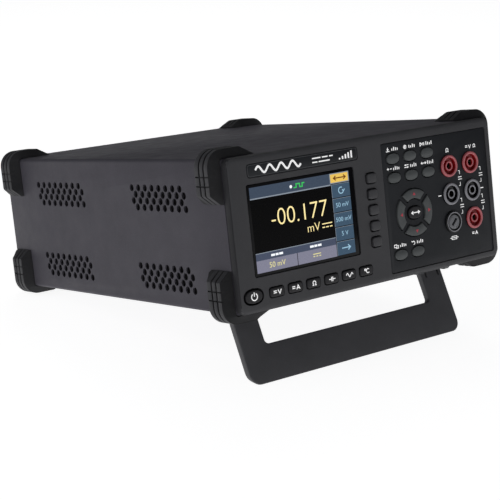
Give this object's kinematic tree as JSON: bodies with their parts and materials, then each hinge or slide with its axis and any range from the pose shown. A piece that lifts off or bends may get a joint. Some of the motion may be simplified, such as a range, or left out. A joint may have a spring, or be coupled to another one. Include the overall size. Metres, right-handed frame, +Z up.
{
  "type": "bench multimeter",
  "caption": "Bench multimeter in a steel case with ridged corner bumpers, sprung keys, a colour screen, safety jacks and a fold-out bail stand",
  "frame": {"origin": "Centre of the bounding box on the plane the instrument stands on, with the bail open and the nose raised", "axes": "+X to the right seen from the front, +Y from the front towards the rear, +Z up"},
  "size_m": [0.2346, 0.2934, 0.151],
  "materials": {
    "steel_paint": "fine textured powder coat",
    "bezel_plastic": "matte moulded",
    "bail_plastic": "matte moulded",
    "dark_panel": "matte overlay film",
    "bumper_rubber": "matte moulded",
    "key_dark": "satin",
    "key_grey": "satin",
    "key_mat_rubber": "matte",
    "screen_glass": "polished",
    "jack_red": "satin",
    "jack_black": "satin",
    "fuse_plastic": "satin",
    "inlet_black": "satin",
    "zinc_steel": "zinc plated",
    "circuit_board": "solder mask",
    "core_steel": "varnished"
  },
  "bodies": {
    "instrument": {"bumper_front_bottom_left": "bumper_rubber", "bumper_front_bottom_right": "bumper_rubber", "bumper_front_top_left": "bumper_rubber", "bumper_front_top_right": "bumper_rubber", "bumper_rear_bottom_left": "bumper_rubber", "bumper_rear_bottom_right": "bumper_rubber", "bumper_rear_top_left": "bumper_rubber", "bumper_rear_top_right": "bumper_rubber", "case_sleeve": "steel_paint", "control_panel": "dark_panel", "front_bezel": "bezel_plastic", "front_board": "circuit_board", "fuse_holder": "fuse_plastic", "hinge_lug_left": "bezel_plastic", "hinge_lug_right": "bezel_plastic", "inner_chassis": "zinc_steel", "jack_current": "jack_red", "jack_input_high": "jack_red", "jack_input_low": "jack_black", "jack_sense_high": "jack_red", "jack_sense_low": "jack_black", "key_mat": "key_mat_rubber", "lcd_module": "zinc_steel", "main_board": "circuit_board", "mains_inlet": "inlet_black", "name_strip": "dark_panel", "rear_panel": "steel_paint", "screen_window": "screen_glass", "serial_port": "zinc_steel", "switch_frame": "inlet_black", "transformer": "core_steel"},
    "function_key_1": {"function_key_1": "key_dark"},
    "function_key_2": {"function_key_2": "key_dark"},
    "function_key_3": {"function_key_3": "key_dark"},
    "function_key_4": {"function_key_4": "key_dark"},
    "function_key_5": {"function_key_5": "key_dark"},
    "function_key_6": {"function_key_6": "key_dark"},
    "soft_key_1": {"soft_key_1": "bezel_plastic"},
    "soft_key_2": {"soft_key_2": "bezel_plastic"},
    "soft_key_3": {"soft_key_3": "bezel_plastic"},
    "soft_key_4": {"soft_key_4": "bezel_plastic"},
    "soft_key_5": {"soft_key_5": "bezel_plastic"},
    "power_key": {"power_key": "key_dark"},
    "key_save": {"key_save": "key_grey"},
    "key_record": {"key_record": "key_grey"},
    "key_run": {"key_run": "key_grey"},
    "key_math": {"key_math": "key_grey"},
    "key_utility": {"key_utility": "key_grey"},
    "key_port": {"key_port": "key_grey"},
    "key_dual": {"key_dual": "key_grey"},
    "key_exit": {"key_exit": "key_grey"},
    "key_range": {"key_range": "key_dark"},
    "key_right": {"key_right": "key_grey"},
    "key_up": {"key_up": "key_grey"},
    "key_left": {"key_left": "key_grey"},
    "key_down": {"key_down": "key_grey"},
    "bail": {"bail": "bail_plastic"},
    "fuse_cap": {"fuse_cap": "fuse_plastic"},
    "mains_rocker": {"mains_rocker": "inlet_black"}
  },
  "joints": [
    {"name": "function_key_1_press", "type": "slide", "parent": "instrument", "child": "function_key_1", "axis": [0, 0.9848, -0.1736], "range_m": [0, 0.0015], "stiffness_N_per_m": 300},
    {"name": "function_key_2_press", "type": "slide", "parent": "instrument", "child": "function_key_2", "axis": [0, 0.9848, -0.1736], "range_m": [0, 0.0015], "stiffness_N_per_m": 300},
    {"name": "function_key_3_press", "type": "slide", "parent": "instrument", "child": "function_key_3", "axis": [0, 0.9848, -0.1736], "range_m": [0, 0.0015], "stiffness_N_per_m": 300},
    {"name": "function_key_4_press", "type": "slide", "parent": "instrument", "child": "function_key_4", "axis": [0, 0.9848, -0.1736], "range_m": [0, 0.0015], "stiffness_N_per_m": 300},
    {"name": "function_key_5_press", "type": "slide", "parent": "instrument", "child": "function_key_5", "axis": [0, 0.9848, -0.1736], "range_m": [0, 0.0015], "stiffness_N_per_m": 300},
    {"name": "function_key_6_press", "type": "slide", "parent": "instrument", "child": "function_key_6", "axis": [0, 0.9848, -0.1736], "range_m": [0, 0.0015], "stiffness_N_per_m": 300},
    {"name": "soft_key_1_press", "type": "slide", "parent": "instrument", "child": "soft_key_1", "axis": [0, 0.9848, -0.1736], "range_m": [0, 0.0015], "stiffness_N_per_m": 300},
    {"name": "soft_key_2_press", "type": "slide", "parent": "instrument", "child": "soft_key_2", "axis": [0, 0.9848, -0.1736], "range_m": [0, 0.0015], "stiffness_N_per_m": 300},
    {"name": "soft_key_3_press", "type": "slide", "parent": "instrument", "child": "soft_key_3", "axis": [0, 0.9848, -0.1736], "range_m": [0, 0.0015], "stiffness_N_per_m": 300},
    {"name": "soft_key_4_press", "type": "slide", "parent": "instrument", "child": "soft_key_4", "axis": [0, 0.9848, -0.1736], "range_m": [0, 0.0015], "stiffness_N_per_m": 300},
    {"name": "soft_key_5_press", "type": "slide", "parent": "instrument", "child": "soft_key_5", "axis": [0, 0.9848, -0.1736], "range_m": [0, 0.0015], "stiffness_N_per_m": 300},
    {"name": "power_key_press", "type": "slide", "parent": "instrument", "child": "power_key", "axis": [0, 0.9848, -0.1736], "range_m": [0, 0.0015], "stiffness_N_per_m": 300},
    {"name": "key_save_press", "type": "slide", "parent": "instrument", "child": "key_save", "axis": [0, 0.9848, -0.1736], "range_m": [0, 0.0012], "stiffness_N_per_m": 300},
    {"name": "key_record_press", "type": "slide", "parent": "instrument", "child": "key_record", "axis": [0, 0.9848, -0.1736], "range_m": [0, 0.0012], "stiffness_N_per_m": 300},
    {"name": "key_run_press", "type": "slide", "parent": "instrument", "child": "key_run", "axis": [0, 0.9848, -0.1736], "range_m": [0, 0.0012], "stiffness_N_per_m": 300},
    {"name": "key_math_press", "type": "slide", "parent": "instrument", "child": "key_math", "axis": [0, 0.9848, -0.1736], "range_m": [0, 0.0012], "stiffness_N_per_m": 300},
    {"name": "key_utility_press", "type": "slide", "parent": "instrument", "child": "key_utility", "axis": [0, 0.9848, -0.1736], "range_m": [0, 0.0012], "stiffness_N_per_m": 300},
    {"name": "key_port_press", "type": "slide", "parent": "instrument", "child": "key_port", "axis": [0, 0.9848, -0.1736], "range_m": [0, 0.0012], "stiffness_N_per_m": 300},
    {"name": "key_dual_press", "type": "slide", "parent": "instrument", "child": "key_dual", "axis": [0, 0.9848, -0.1736], "range_m": [0, 0.0012], "stiffness_N_per_m": 300},
    {"name": "key_exit_press", "type": "slide", "parent": "instrument", "child": "key_exit", "axis": [0, 0.9848, -0.1736], "range_m": [0, 0.0012], "stiffness_N_per_m": 300},
    {"name": "key_range_press", "type": "slide", "parent": "instrument", "child": "key_range", "axis": [0, 0.9848, -0.1736], "range_m": [0, 0.0012], "stiffness_N_per_m": 300},
    {"name": "key_right_press", "type": "slide", "parent": "instrument", "child": "key_right", "axis": [0, 0.9848, -0.1736], "range_m": [0, 0.0012], "stiffness_N_per_m": 300},
    {"name": "key_up_press", "type": "slide", "parent": "instrument", "child": "key_up", "axis": [0, 0.9848, -0.1736], "range_m": [0, 0.0012], "stiffness_N_per_m": 300},
    {"name": "key_left_press", "type": "slide", "parent": "instrument", "child": "key_left", "axis": [0, 0.9848, -0.1736], "range_m": [0, 0.0012], "stiffness_N_per_m": 300},
    {"name": "key_down_press", "type": "slide", "parent": "instrument", "child": "key_down", "axis": [0, 0.9848, -0.1736], "range_m": [0, 0.0012], "stiffness_N_per_m": 300},
    {"name": "bail_fold", "type": "hinge", "parent": "instrument", "child": "bail", "pos_m": [0, -0.10548, 0.04296], "axis": [1, 0, 0], "range_deg": [0, 110]},
    {"name": "fuse_cap_turn", "type": "hinge", "parent": "instrument", "child": "fuse_cap", "pos_m": [0.06949, -0.14206, 0.0824], "axis": [0, -0.9848, 0.1736], "range_deg": [0, 90]},
    {"name": "mains_rocker_tilt", "type": "hinge", "parent": "instrument", "child": "mains_rocker", "pos_m": [-0.03084, 0.12837, 0.03837], "axis": [1, 0, 0], "range_deg": [0, 10]}
  ]
}
